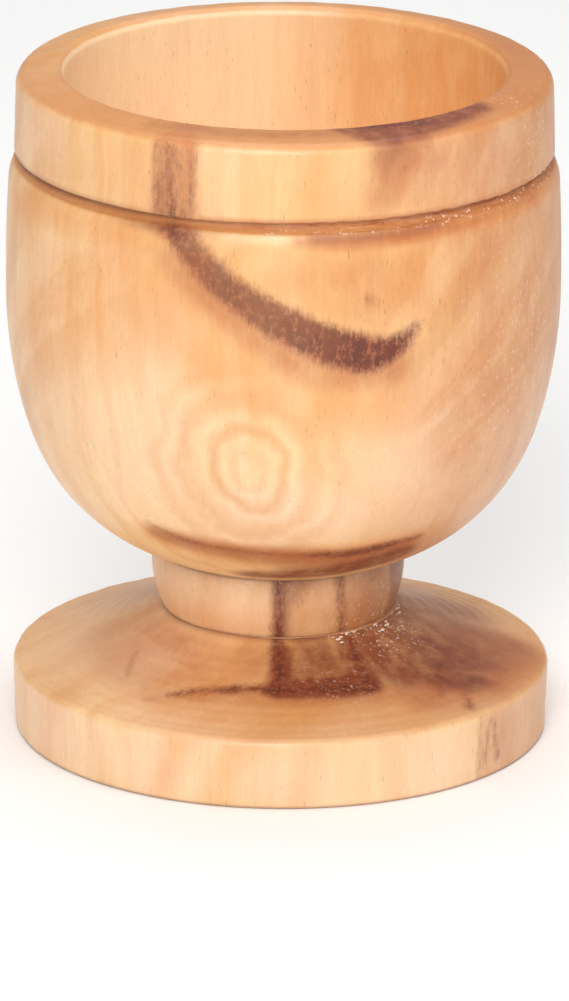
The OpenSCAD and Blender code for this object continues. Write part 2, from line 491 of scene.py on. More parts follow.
def patchField(spots, patches, placeOf):
    total = np.zeros(len(spots))
    for azimuth, height, across, up, strength in patches:
        offset = offsetFrom(spots, placeOf, azimuth, height)
        level = (offset[:, 0] ** 2 + offset[:, 1] ** 2) / across ** 2 + (offset[:, 2] / up) ** 2
        total = np.maximum(total, strength * np.exp(-level))
    return total


def knotField(spots, knots, placeOf):
    reach = np.full(len(spots), fieldDefaults["knot"])
    for azimuth, height, tall in knots:
        offset = offsetFrom(spots, placeOf, azimuth, height) / (1, 1, tall)
        reach = np.minimum(reach, np.linalg.norm(offset, axis=1))
    return reach


def fanField(spots, fans, girth=18.5):  # girth is the radius at which the surface is unrolled
    turn, depth = np.zeros(len(spots)), np.zeros(len(spots))
    for fan in fans:
        aside = np.radians((azimuthOf(spots) - fan["root"][0] + 180) % 360 - 180) * girth
        up = spots[:, 2] - fan["root"][1]
        reach, angle = np.hypot(aside, up), np.degrees(np.arctan2(up, aside))
        low, high = fan["turns"]
        level = fan["depth"] * smoothStep(reach, fan["near"], fan["near"] + 3)
        level *= smoothStep(reach, fan["far"], fan["far"] - 8)
        level *= smoothStep(angle, low - 14, low) * smoothStep(angle, high + 14, high)
        turn = np.where(level > depth, angle / 90 * fan["lines"] + reach * 0.05, turn)
        depth = np.maximum(depth, level)
    return turn, depth


def readFigure(spots, figure, placeOf):  # every field of one figure
    fields = {}
    fields["heart"], fields["heartDepth"] = streakField(spots, figure.get("streaks", []), placeOf)
    for name in paints:
        strokes = strokeField(spots, figure.get(name + "Sweeps", []), placeOf)
        fields[name] = np.maximum(strokes, patchField(spots, figure.get(name + "Patches", []), placeOf))
    fields["knot"] = knotField(spots, figure.get("knots", []), placeOf)
    fields["fan"], fields["fanDepth"] = fanField(spots, figure.get("fans", []))
    return fields


def addFigure(fields, more, where):  # lay a second figure over the first
    closer = (more["heart"] < fields["heart"]) & (where > 0.5)
    for name in ("heart", "heartDepth"):
        fields[name] = np.where(closer, more[name], fields[name])
    for name in paints:
        fields[name] = np.maximum(fields[name], more[name] * where)


def keepWhere(fields, where, names):
    for name in names:
        fields[name] = fields[name] * where


def dress(piece, fields):
    for name, start in fieldDefaults.items():
        storeField(piece, name, fields.get(name, np.full(len(piece.data.vertices), start)))


# Bowl

def blendAngle(centre, bigRadius, radius, spot):  # where a circle inside another leaves it for a spot
    away = np.array(spot) - np.array(centre)
    reach, gap = np.linalg.norm(away), bigRadius - radius
    share = (reach ** 2 + gap ** 2 - radius ** 2) / (2 * gap * reach)
    return math.atan2(abs(away[1]), away[0]) - math.acos(share)


bowlLow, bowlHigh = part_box("bowl")
bowlTurning = {
    "beltRadius": bowlHigh.x / mm,
    "neck": bowlLow.z / mm,
    "top": bowlHigh.z / mm,
    "neckRadius": 9.1,
    "beltShare": 0.545,
    "turnRadius": 13.4,
    "flankShare": 1.7,
    "flankLean": 0.2,
    "shoulderRadius": 3.0,
    "bandHeight": 5.6,
    "bandInset": 0.6,
    "bandTaper": 0.1,
    "grooveHeight": 0.8,
    "grooveDepth": 0.5,
    "grooveDeepShare": 0.7,
    "rimRound": 0.9,
    "lipRound": 0.7,
    "lipFall": 0.3,
    "mouthRadius": 14.9,
    "hollowDepth": 26.0,
    "hollowTaper": 0.4,
    "hollowTurn": 11.0,
    "socketRadius": 5.1,
    "socketDepth": 4.4,
    "steps": 256,
}
bowlWear = {
    # size and height of the bumps in millimetres
    "wobble": (9.0, 0.10),
    "torn": (0.3, 0.3),
    "lip": (1.1, 0.07),
    "hollowRadius": 15.1,  # all that lies nearer the axis and above the hollow's floor is inside
    "bandRadius": 17.0,  # the groove's deepest line lies past this
}


def bowlOutline(cup):
    belt, neck, top = cup["beltRadius"], cup["neck"], cup["top"]
    beltZ = neck + cup["beltShare"] * (top - neck)
    grooveTop = top - cup["bandHeight"]
    grooveLow = grooveTop - cup["grooveHeight"]
    band = belt - cup["bandInset"]
    rim = band - cup["bandTaper"]
    flank = cup["flankShare"] * (beltZ - neck)
    flankCentre = np.array([belt - flank, beltZ])
    angle = -blendAngle(flankCentre, flank, cup["turnRadius"], (cup["neckRadius"], neck))
    turnStart = flankCentre + flank * np.array([math.cos(angle), math.sin(angle)])
    sideHeight = grooveLow - cup["shoulderRadius"] / 2 - beltZ
    side = (sideHeight ** 2 + cup["flankLean"] ** 2) / (2 * cup["flankLean"])
    sideCentre = np.array([belt - side, beltZ])
    angle = blendAngle(sideCentre, side, cup["shoulderRadius"], (band, grooveLow))
    shoulderStart = sideCentre + side * np.array([math.cos(angle), math.sin(angle)])
    floor = top - cup["hollowDepth"]
    mouth = cup["mouthRadius"]
    wall = mouth - cup["hollowTaper"]
    socketTop = neck + cup["socketDepth"]

    line = Outline([(0, socketTop)])
    line.go((cup["socketRadius"], socketTop), 2.0)
    line.go((cup["socketRadius"], neck), 1.5)
    line.go((cup["neckRadius"] - 0.15, neck), 0.7)
    line.bend((cup["neckRadius"] + 0.15, neck + 0.12), 0.2, 0.05)
    outerStart = len(line)
    line.bend(turnStart, cup["turnRadius"], 0.28)
    line.bend((belt, beltZ), flank, 0.32)
    line.bend(shoulderStart, side, 0.32)
    line.bend((band + 0.02, grooveLow), cup["shoulderRadius"], 0.16)
    deepest = (band - cup["grooveDepth"], grooveLow + cup["grooveDeepShare"] * cup["grooveHeight"])
    line.bend((deepest[0], deepest[1] - 0.06), -1.6, 0.07)
    line.bend((deepest[0] + 0.02, deepest[1] + 0.06), -0.09, 0.05)
    line.go((band - 0.07, grooveTop - 0.02), 0.08)
    line.bend((band, grooveTop + 0.07), 0.09, 0.04)
    line.go((rim, top - cup["lipFall"] - cup["rimRound"]), 0.3)
    line.bend((rim - cup["rimRound"], top - cup["lipFall"]), cup["rimRound"], 0.12)
    line.bend((mouth + cup["lipRound"], top), 14, 0.2)
    line.bend((mouth, top - cup["lipRound"]), cup["lipRound"], 0.08)
    outerEnd = len(line)
    line.go((wall, floor + cup["hollowTurn"]), 0.45)
    line.bend((wall - cup["hollowTurn"], floor), -cup["hollowTurn"], 0.4)
    line.go((0, floor), 0.5)
    outer = np.array(line[outerStart:outerEnd])
    return line, outer


bowlFigure = {
    # azimuth in degrees from the front and height in millimetres
    "streaks": [
        streak([(-24.5, 40.3), (-20, 39.4), (-14.5, 37.5), (-6.5, 35.7), (3.6, 33.8),
                (11.7, 32.6), (18.5, 32.0), (24.5, 32.6), (28.5, 33.9)],
               [0.45, 0.85, 1.05, 1.15, 1.3, 1.3, 1.15, 0.55, 0.1], [0.9, 0.72, 0.74, 0.84, 0.98, 1.0, 0.95]),
        streak([(17.5, 35.9), (18.6, 35.6)], [0.2, 0.1], 0.5),
        streak([(-27.8, 46.0), (-27.3, 43.5), (-26.8, 41.3)], [0.1, 0.2, 0.25], 0.75),
        streak([(-24.6, 45.8), (-24.6, 43.5), (-23.8, 41.3)], [0.15, 0.3, 0.45], 0.85),
        streak([(-22.4, 45.6), (-22.3, 42.4)], [0.0, 0.05], 0.6),
        streak([(-19.2, 46.0), (-19.8, 43.5), (-20.6, 41.3)], [0.05, 0.15, 0.2], 0.7),
        streak([(-34, 18.4), (-24, 17.5), (-8, 17.0), (4, 16.8)], [0.05, 0.18, 0.14, 0.05], 0.7),
        streak([(4, 16.8), (18, 16.6), (27, 16.9), (38, 17.2)], [0.15, 0.45, 0.5, 0.15], 0.9),
        streak([(118, 39), (128, 35), (142, 30), (150, 24), (170, 19.5)],
               [0.2, 0.9, 1.3, 1.0, 0.3], 0.85),
        streak([(-124, 45.8), (-126, 41.5), (-128, 36), (-128, 29), (-124, 22)],
               [0.2, 0.6, 1.0, 0.6, 0.1], [0.8, 0.7, 0.75, 0.5]),
        streak([(78, 22), (92, 19), (108, 17.6)], [0.2, 0.5, 0.2], 0.6),
    ],
    "haloAndShadeSweeps": [
        stroke([(-46, 35), (-33, 36), (-22, 34), (-10, 31.2), (4, 29.2), (18, 28.2)],
               [1, 2.2, 2.0, 1.0, 0.8, 0.6], 3.2, 0.5),
        stroke([(-75, 38.6), (-52, 39.4), (-28, 39.2)], [0.5, 0.7, 0.5], 1.6, 0.6),
        stroke([(22, 27.5), (36, 29.5), (52, 32.5), (68, 37)], [0.6, 1.1, 1.4, 1.8], 2.2, 0.42),
        stroke([(30, 34.5), (42, 36.5), (56, 39.5)], [0.3, 0.8, 1.0], 2.0, 0.4),
        stroke([(40, 24), (56, 28), (76, 33)], [0.5, 1.0, 1.2], 2.4, 0.3),
        stroke([(-30, 38.0), (-8, 39.0), (20, 39.5), (60, 39.6)], [0.2, 0.4, 0.5, 0.6], 1.3, 0.45),
        stroke([(-36, 17.2), (0, 16.2), (40, 17.2)], [0.5, 0.8, 0.8], 1.6, 0.5),
        stroke([(-4, 38.0), (10, 36.8), (26, 37.2)], [0.6, 1.6, 1.8], 3.0, 0.5),
        stroke([(-62, 31), (-50, 33), (-38, 33.5)], [1.5, 2.5, 2.0], 4.5, 0.4),
        stroke([(22, 40.0), (50, 40.0), (80, 40.2)], [0.3, 0.4, 0.4], 1.2, 0.8),
        stroke([(105, 40), (130, 34), (150, 26)], [1, 2.5, 2], 4, 0.45),
        stroke([(-120, 40), (-135, 32), (-125, 22)], [1, 2.5, 2], 4, 0.45),
    ],
    "stainAndShadeSweeps": [
        stroke([(-23.2, 46.3), (-23.4, 43.6), (-23.4, 41.2)], [1.3, 1.45, 1.7], 0.6, 0.68),
        stroke([(26, 46.2), (24, 44.6), (21, 43.0)], [1.7, 1.2, 0.5], 2.0, 0.8),
        stroke([(34, 44.8), (30, 42.6)], [0.7, 0.5], 1.8, 0.5),
        stroke([(48, 45.6), (42, 43.4), (37, 41.8)], [0.4, 0.4, 0.2], 1.2, 0.35),
        stroke([(62, 45.4), (55, 43)], [0.4, 0.3], 1.2, 0.3),
        stroke([(30, 39.9), (52, 40.2), (80, 40.4)], [0.25, 0.3, 0.3], 0.8, 0.75),
        stroke([(-34, 17.8), (-12, 16.9), (4, 16.6), (22, 16.2), (38, 16.9)],
               [0.3, 0.5, 0.6, 0.9, 0.6], 1.3, 0.85),
        stroke([(-22, 38.4), (-6, 34.6), (8, 32), (22, 31.4)], [0.9, 1.3, 1.5, 1.2], 1.4, 0.7),
        stroke([(16, 35.0), (18, 36.8), (17, 38.6)], [0.2, 0.3, 0.1], 1.4, 0.4),
        stroke([(4, 37.4), (16, 36.8), (28, 36.6), (42, 37.2)], [0.6, 1.2, 1.8, 1.8], 2.6, 0.3),
        stroke([(3, 40.0), (14, 39.9), (26, 40.0), (40, 40.3)], [0.0, 0.25, 0.3, 0.1], 0.9, 0.9),
    ],
    "smokeSweeps": [
        stroke([(6, 40.2), (14, 40.1), (26, 40.2), (34, 40.3)], [0.0, 0.05, 0.08, 0.0], 0.6, 0.5),
        stroke([(-10, 14.2), (14, 14.6), (36, 15.6)], [0.6, 1.2, 1.0], 1.3, 0.9),
        stroke([(24, 46.3), (22, 45.4)], [0.9, 0.4], 1.5, 0.4),
        stroke([(-32, 17.4), (-4, 16.4), (28, 16.3)], [0.5, 0.8, 0.7], 1.2, 0.3),
    ],
    "smokePatches": [(5.5, 15.0, 1.8, 1.2, 0.6), (28, 16.2, 2.5, 0.8, 0.5), (-26, 40.3, 3, 0.35, 0.6)],
    "blushAndLightPatches": [
        (-30, 24, 7, 7, 0.6), (0, 20.5, 9, 3.4, 0.7), (-7.3, 23.6, 3, 4, 0.4), (34, 23, 8, 5, 0.65),
        (60, 24, 8, 8, 0.6), (-60, 26, 7, 8, 0.45), (-70, 43.6, 5, 2.5, 0.5), (34, 43, 4, 2.5, 0.4),
        (150, 20, 9, 6, 0.5), (-150, 40, 8, 6, 0.4),
    ],
    "dustAndGlintSweeps": [
        stroke([(-4, 40.5), (30, 40.55), (78, 40.55)], [0.0, 0.15, 0.25], 0.45, 0.95),
    ],
    # the first patch paints glints on the right flank as pale specks; the others are dust
    "dustAndGlintPatches": [(58, 30, 7, 9, 0.3), (70, 43.6, 4, 2.5, 0.5), (-68, 43.6, 4, 2, 0.4)],
    "knots": [(-7.3, 23.8, 1.25), (158, 33, 1.1)],  # the last is how much taller than wide
    "fans": [
        # root, reach along the fan from its root, and between which turns it lies
        {"root": (-6, 14.5), "near": 15, "far": 46, "turns": (36, 62), "lines": 15, "depth": 0.42},
        {"root": (-112, 12), "near": 14, "far": 40, "turns": (48, 84), "lines": 13, "depth": 0.35},
        {"root": (150, 52), "near": 10, "far": 40, "turns": (-130, -60), "lines": 14, "depth": 0.5},
    ],
}
lipFigure = {
    # azimuth in degrees and radius in millimetres
    "streaks": [
        streak([(17, 15.2), (24, 15.6), (34, 16.1), (43, 16.0)], [0.15, 0.6, 0.6, 0.1],
               [0.95, 1.0, 0.9, 0.7]),
    ],
    "smokeSweeps": [
        stroke([(13, 15.6), (23, 16.4), (36, 16.2), (54, 16.0)], [0.2, 1.6, 1.1, 0.5], 0.9, 0.88),
        stroke([(-32, 16.4), (-15, 16.3), (14, 16.3)], [0.1, 0.3, 0.3], 1.0, 0.36),
    ],
    "dustAndGlintPatches": [(66, 16.5, 4, 2, 0.3)],
}


def nearGroove(spots, cup, low, high):  # 1 on the groove's deepest line, 0 at low millimetres from it
    deepest = cup["top"] - cup["bandHeight"] - cup["grooveHeight"] * (1 - cup["grooveDeepShare"])
    return smoothStep(np.abs(spots[:, 2] - deepest), low, high) * (radiusOf(spots) > bowlWear["bandRadius"])


def wearBowl(piece, cup, wear):
    spots = spotsOf(piece)
    radius, height, azimuth = radiusOf(spots), spots[:, 2], azimuthOf(spots)
    # all of the wall counts as above the neck
    aboveNeck = smoothStep(height + (radius > 15.5) * 40, cup["neck"], cup["neck"] + 2)
    outside = smoothStep(radius, 9.4, 10.5) * aboveNeck * ((radius > 16.2) | (height < 30))
    pressIn(piece, "handWobble", wear["wobble"], outside)
    rightward = smoothStep(azimuth, -5, 25) * smoothStep(azimuth, 110, 70)
    pressIn(piece, "tornGrain", wear["torn"], nearGroove(spots, cup, 0.75, 0.3) * (0.2 + 0.8 * rightward))
    edges = smoothStep(height, cup["top"] - 1.4, cup["top"] - 0.4) * (radius > 14)
    pressIn(piece, "lipWear", wear["lip"], edges)


def facingUp(piece):
    normals = np.zeros(len(piece.data.vertices) * 3)
    piece.data.vertices.foreach_get("normal", normals)
    return normals.reshape(-1, 3)[:, 2]


def makeBowl(cup, wear, figure, lip):
    line, outer = bowlOutline(cup)
    piece = turnOnLathe("olive_bowl", line, cup["steps"])
    azimuth = azimuthOf(spotsOf(piece))
    wearBowl(piece, cup, wear)
    spots = spotsOf(piece)
    side, height = spots[:, 0], spots[:, 2]
    inside = (radiusOf(spots) < wear["hollowRadius"]) & (height > cup["top"] - cup["hollowDepth"] - 0.5)

    def onWall(azimuths, heights):
        return spotAt(azimuths, np.interp(heights, outer[:, 1], outer[:, 0]), heights)

    def onLip(azimuths, radii):
        return spotAt(azimuths, radii, cup["top"] - 0.1)

    fields = readFigure(spots, figure, onWall)
    addFigure(fields, readFigure(spots, lip, onLip), 1.0 - inside)
    keepWhere(fields, ~inside, paints + ("heartDepth", "fanDepth"))

    # golden above the belt; inside, painted light on the inner wall, strongest on the left, and painted shade
    # deepening its right
    golden = 0.2 * smoothStep(height, 30, 38) + 0.12 * smoothStep(azimuth, -10, 4)
    golden = np.maximum(fields["haloAndShade"], golden * smoothStep(height, 26, 36))
    fields["haloAndShade"] = np.where(inside, 0.04 + 0.66 * smoothStep(side, -3, 13), golden)
    fields["paintedLightCream"] = np.where(inside, 0.25 + 0.6 * smoothStep(side, 9, -10), 0)
    fields["blushAndLight"] = np.where(inside, 0.9 * smoothStep(side, 6, -12), fields["blushAndLight"])
    fields["knot"] = np.where(inside, fieldDefaults["knot"], fields["knot"])
    lipTone = 0.6 + 0.4 * np.maximum(smoothStep(spots[:, 1], 6, -12), smoothStep(side, 0, 14))
    fields["endGrain"] = smoothStep(facingUp(piece), 0.4, 0.9) * (height > 40) * lipTone

    # painted shade in the groove and on the neck, brown stain in the groove, and brown with painted shade
    # over the right flank
    left = smoothStep(azimuth, -10, -40) * smoothStep(azimuth, -130, -80)
    neckShade = 0.45 * smoothStep(height, cup["neck"] + 0.25, cup["neck"])
    fields["paintedShade"] = nearGroove(spots, cup, 0.4, 0.1) * (0.12 + 0.3 * left) + neckShade
    grooveStain = (0.75 - 0.3 * left) * nearGroove(spots, cup, 0.6, 0.25)
    # the whole right flank made browner, partly wood tone and partly painted shade
    flankShade = 0.5 * smoothStep(azimuth, 14, 50) * smoothStep(azimuth, 150, 110) * ~inside
    fields["stainAndShade"] = np.maximum(fields["stainAndShade"], np.maximum(grooveStain, flankShade))
    dress(piece, fields)
    return piece


bowl = makeBowl(bowlTurning, bowlWear, bowlFigure, lipFigure)
bowl.data.materials.append(oliveWood("oliveWoodBowl", 0.44))
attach(bowl, "root")
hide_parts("bowl")
print("bowl turned:", len(bowl.data.polygons), "faces")


# Stem

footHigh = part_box("foot")[1]
stemTurning = {
    "base": footHigh.z / mm + 0.1,
    "top": bowlLow.z / mm - 0.1,
    "baseRadius": 7.95,
    "topRadius": 8.55,
    "swell": 0.35,
    "tenonRadius": 5.0,
    "tenonLength": 4.0,
    "tenonChamfer": 0.4,
    "offAxis": 0.22,
    "steps": 224,
}
stemWear = {"wobble": (3.0, 0.14), "nicks": (0.45, 0.07)}
stemFigure = {
    # azimuth in degrees and height in millimetres
    "streaks": [
        streak([(-0.5, 12.9), (-1, 11), (-1, 8.7)], [0.3, 0.34, 0.44], 0.95),
        streak([(27.5, 13.1), (29, 11), (32, 8.7)], [0.18, 0.2, 0.28], 0.92),
        streak([(62, 13.1), (66, 8.7)], [0.1, 0.2], 0.6),
        streak([(160, 13.1), (168, 8.7)], [0.5, 0.3], 0.7),
        streak([(-120, 13.1), (-112, 8.7)], [0.2, 0.5], 0.7),
    ],
    "smokeSweeps": [
        stroke([(1.5, 12.9), (0.5, 11), (0, 8.7)], [0.7, 0.4, 0.35], 0.6, 0.55),
        stroke([(8, 13.0), (5, 11.8)], [0.5, 0.3], 1.0, 0.5),
        stroke([(50, 13), (54, 8.7)], [0.9, 1.3], 2.6, 0.42),
        stroke([(74, 13), (78, 8.7)], [1.2, 1.2], 2.4, 0.75),
    ],
    "stainAndShadePatches": [
        (14, 11, 3.4, 5, 0.5), (36, 10.5, 4, 5, 0.65), (60, 10.5, 4, 5, 0.6), (-44, 11, 4, 3, 0.22),
    ],
    "blushAndLightPatches": [
        (-20, 11, 5, 4, 0.6), (-55, 11, 5, 4, 0.5), (20, 11.6, 2, 2, 0.4), (-150, 11, 6, 5, 0.4),
    ],
    "haloAndShadePatches": [(45, 10, 4, 4, 0.3), (-34, 9.4, 4, 1.6, 0.25), (100, 11, 5, 5, 0.4)],
    "dustAndGlintSweeps": [stroke([(22, 8.9), (50, 9.0), (84, 9.2)], [0.1, 0.4, 0.5], 0.8, 0.9)],
    "dustAndGlintPatches": [(45, 11, 4, 3, 0.22), (-10, 12.6, 4, 0.5, 0.4)],
}


def stemOutline(stem):
    base, top = (stem["baseRadius"], stem["base"]), (stem["topRadius"], stem["top"])
    half = math.dist(base, top) / 2
    swell = (half ** 2 + stem["swell"] ** 2) / (2 * stem["swell"])
    pegLow = stem["base"] - stem["tenonLength"]
    pegHigh = stem["top"] + stem["tenonLength"]
    peg, cut = stem["tenonRadius"], stem["tenonChamfer"]
    line = Outline([(0, pegLow)])
    line.go((peg - cut, pegLow), 1.5)
    line.go((peg, pegLow + cut), 0.3)
    line.go((peg, stem["base"]), 1.2)
    line.go((base[0] - 0.1, base[1]), 0.6)
    line.bend((base[0] + 0.03, base[1] + 0.1), 0.1, 0.05)
    start = len(line)
    line.bend((top[0] + 0.02, top[1] - 0.14), swell, 0.1)
    line.bend((top[0] - 0.14, top[1]), 0.15, 0.05)
    outer = np.array([base] + line[start:])
    line.go((peg, stem["top"]), 0.6)
    line.go((peg, pegHigh - cut), 1.2)
    line.go((peg - cut, pegHigh), 0.3)
    line.go((0, pegHigh), 1.5)
    return line, outer


def makeStem(stem, wear, figure):
    line, outer = stemOutline(stem)
    piece = turnOnLathe("olive_stem", line, stem["steps"])
    spots = spotsOf(piece)
    collar = smoothStep(radiusOf(spots), 6.2, 7.6)
    pressIn(piece, "stemWobble", wear["wobble"], collar)
    pressIn(piece, "stemNicks", wear["nicks"], collar * (0.4 + 0.6 * smoothStep(azimuthOf(spots), 10, 40)))
    slideBy(piece, "setOffAxis", "X", -stem["offAxis"], collar)
    spots = spotsOf(piece)

    def onCollar(azimuths, heights):
        return spotAt(azimuths, np.interp(heights, outer[:, 1], outer[:, 0]), heights)

    fields = readFigure(spots, figure, onCollar)
    # painted shade under the bowl at the stem's top and in the crease at its base
    fields["paintedShade"] = 0.6 * smoothStep(spots[:, 2], stem["top"] - 0.3, stem["top"] - 0.03)
    fields["paintedShade"] += 0.25 * smoothStep(spots[:, 2], stem["base"] + 0.3, stem["base"])
    dress(piece, fields)
    return piece


stem = makeStem(stemTurning, stemWear, stemFigure)
stem.data.materials.append(oliveWood("oliveWoodStem", 0.46))
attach(stem, "root")
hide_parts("stem")
print("stem turned:", len(stem.data.polygons), "faces")


# Foot

footTurning = {
    "topRadius": footHigh.x / mm,
    "edgeHeight": 5.0,
    "rise": 3.6,
    "landRadius": 7.95,
    "taper": 0.14,
    "topRound": 0.6,
    "lowRound": 0.3,
    "sweep": 40.0,
    "ringWidth": 2.6,
    "recess": 0.6,
    "socketRadius": 5.1,
    "socketDepth": 4.4,
    "steps": 288,
}
footWear = {"wobble": (8.0, 0.10), "rims": (1.2, 0.08)}
footFigure = {
    # azimuth in degrees and radius in millimetres
    "streaks": [
        streak([(-1.2, 7.9), (-0.8, 10.3), (-0.3, 12.6)], [0.42, 0.44, 0.62], 1.0),
        streak([(-32, 14.2), (-22, 13.2), (-10, 12.6), (0, 12.6), (12, 12.6), (22, 12.7), (29, 13.0)],
               [0.1, 0.36, 0.38, 0.45, 0.55, 0.6, 0.4], 1.0),
        streak([(33, 7.9), (30.5, 10.5), (27, 13.0)], [0.28, 0.34, 0.5], 1.0),
        streak([(3, 10.0), (16, 9.8), (28, 10.1)], [0.02, 0.1, 0.02], 0.8),
        streak([(45, 15.4), (52, 13.6), (58, 12.8)], [0.1, 0.35, 0.1], 0.7),
        streak([(47.6, 17.4), (51, 16.2)], [0.3, 0.1], 0.7),
        streak([(-58, 11.6), (-50, 13.6)], [0.0, 0.0], 0.6),
        streak([(150, 9), (156, 13), (162, 17)], [0.3, 0.7, 0.2], 0.75),
    ],
    "smokeSweeps": [
        stroke([(1, 9.2), (1, 12.0)], [0.6, 0.9], 0.9, 0.9),
        stroke([(0, 12.4), (25, 12.5)], [0.9, 1.0], 0.8, 1.0),
        stroke([(65, 11), (67, 13.4)], [1.2, 1.4], 1.8, 0.85),
        stroke([(100, 10), (112, 13)], [1.2, 1.6], 2.6, 0.45),
        stroke([(14, 8.6), (15, 11.3)], [1.0, 1.7], 1.4, 0.8),
        stroke([(31, 9), (27, 12.2)], [0.9, 1.2], 1.0, 0.9),
        stroke([(42, 9), (43, 12.0)], [1.4, 1.5], 1.8, 0.85),
        stroke([(58, 9), (60, 12.4)], [1.5, 1.8], 2.2, 0.8),
        stroke([(74, 9), (70, 13)], [1.8, 2.2], 2.6, 0.72),
        stroke([(92, 9), (84, 14)], [1.8, 2.2], 3.2, 0.5),
        stroke([(-14, 9.4), (-8, 10.2), (-2, 9.6)], [0.2, 0.5, 0.5], 2.0, 0.3),
        stroke([(48, 13.6), (56, 14.6), (60, 15.4)], [0.5, 1.0, 0.6], 1.6, 0.85),
    ],
    "stainAndShadeSweeps": [
        stroke([(-36, 15.0), (-18, 13.6), (8, 13.5), (32, 14.0), (48, 15.2)],
               [0.2, 0.4, 0.6, 0.7, 0.5], 1.1, 0.6),
        stroke([(40, 15.2), (58, 15.0), (86, 14.6)], [0.6, 2.0, 2.6], 2.6, 0.85),
        stroke([(-12, 9.0), (-14, 11.6)], [0.5, 0.7], 2.2, 0.3),
        stroke([(-80, 11), (-48, 12), (-26, 12.6)], [1.6, 2.0, 1.4], 3.2, 0.42),
        # the next stroke darkens the foot's top to the left of the stem's base
        stroke([(-66, 9.4), (-44, 9.8), (-28, 10.8)], [0.6, 1.0, 0.9], 2.2, 0.6),
        stroke([(100, 12), (128, 13), (152, 12)], [1.5, 2.5, 2], 3, 0.35),
    ],
    "haloAndShadeSweeps": [
        stroke([(-30, 15.4), (0, 15.0), (34, 15.4)], [0.6, 0.9, 0.9], 1.6, 0.32),
        stroke([(62, 16.4), (88, 16.2)], [0.6, 0.8], 2, 0.4),
        stroke([(-20, 10), (-26, 13)], [1, 1.6], 2.5, 0.4),
    ],
    "blushAndLightPatches": [
        (-50, 11.6, 5, 3, 0.75), (-75, 13.5, 5, 3, 0.65), (-36, 15.5, 5, 2.5, 0.35),
        (-110, 13, 7, 4, 0.5), (46, 16.8, 4, 2, 0.3),
    ],
    "dustAndGlintPatches": [(20, 12.4, 3, 1.5, 0.3), (45, 9.0, 2.2, 1.5, 0.7), (62, 9.2, 2.4, 1.5, 0.6)],
}
footSideFigure = {
    # azimuth in degrees and height in millimetres
    "streaks": [
        streak([(49.5, 1.0), (50.3, 3.4), (52, 3.9), (54, 1.2)], [0.02, 0.05, 0.07, 0.02], 0.75),
        streak([(47.4, 0.2), (47.6, 4.8)], [0.0, 0.02], 0.4),
        streak([(140, 0.2), (143, 4.8)], [0.4, 0.2], 0.7),
        streak([(-118, 0.2), (-116, 4.8)], [0.2, 0.4], 0.6),
    ],
    "stainAndShadePatches": [(56, 2.5, 3.6, 6, 0.6), (72, 2.5, 6, 6, 0.5), (-84, 2.5, 4, 5, 0.2)],
    "blushAndLightPatches": [
        (-60, 2.5, 7, 5, 0.75), (-30, 2, 5, 3, 0.6), (0, 2, 5, 3, 0.45), (34, 2, 5, 4, 0.75),
        (60, 3, 5, 4, 0.5),
    ],
    "haloAndShadePatches": [(120, 2.5, 6, 4, 0.4), (-150, 2.5, 6, 4, 0.35)],
    "haloAndShadeSweeps": [
        stroke([(-62, 0.2), (-57, 4.8)], [0.2, 0.5], 1.4, 0.22),
        stroke([(-27, 0.2), (-21, 4.8)], [0.3, 0.6], 1.2, 0.36),
        stroke([(-14, 0.2), (-9, 4.8)], [0.5, 0.2], 1.2, 0.3),
        stroke([(4, 0.2), (7, 4.8)], [0.3, 0.5], 1.5, 0.26),
        stroke([(26, 0.2), (24, 4.8)], [0.2, 0.4], 1.4, 0.22),
    ],
}


def footOutline(foot):
    wide, edge = foot["topRadius"], foot["edgeHeight"]
    low = wide - foot["taper"]
    landHeight = edge + foot["rise"]
    ring = low - foot["ringWidth"]
    line = Outline([(0, foot["recess"])])
    roof = alongLine(line[-1], (ring - 0.12, foot["recess"]), 0.25)
    line += [(r, z + 0.018 * (math.sin(r * 5.1) - 1) * (0.4 < r < ring - 0.5)) for r, z in roof]  # tool rings
    line.bend((ring, foot["recess"] - 0.12), 0.12, 0.06)
    line.go((ring, 0.08), 0.15)
    line.bend((ring + 0.08, 0), -0.08, 0.05)
    line.go((low - foot["lowRound"], 0), 0.5)
    line.bend((low, foot["lowRound"]), foot["lowRound"], 0.08)
    side = len(line)
    line.go((wide, edge - foot["topRound"]), 0.25)
    line.bend((wide - foot["topRound"], edge), foot["topRound"], 0.09)
    top = len(line)
    sweep = alongArc(line[-1], (foot["landRadius"] + 0.05, landHeight), -foot["sweep"], 0.14)
    line += [(r, z + 0.014 * math.sin(r * 6.2)) for r, z in sweep]  # faint tool rings
    line.go((foot["socketRadius"], landHeight), 0.7)
    line.go((foot["socketRadius"], landHeight - foot["socketDepth"]), 1.2)
    line.go((0, landHeight - foot["socketDepth"]), 1.7)
    sideLine = np.array(line[side - 1:top])
    topLine = np.array(line[top - 1:top + len(sweep)])
    return line, sideLine, topLine


def wearFoot(piece, wear):
    spots = spotsOf(piece)
    radius, height = radiusOf(spots), spots[:, 2]
    pressIn(piece, "footWobble", wear["wobble"], ((radius > 8.5) & (height > 0.3)) * 1.0)
    pressIn(piece, "footWear", wear["rims"], smoothStep(radius, 17.4, 18.1) * smoothStep(height, 0.1, 0.4))


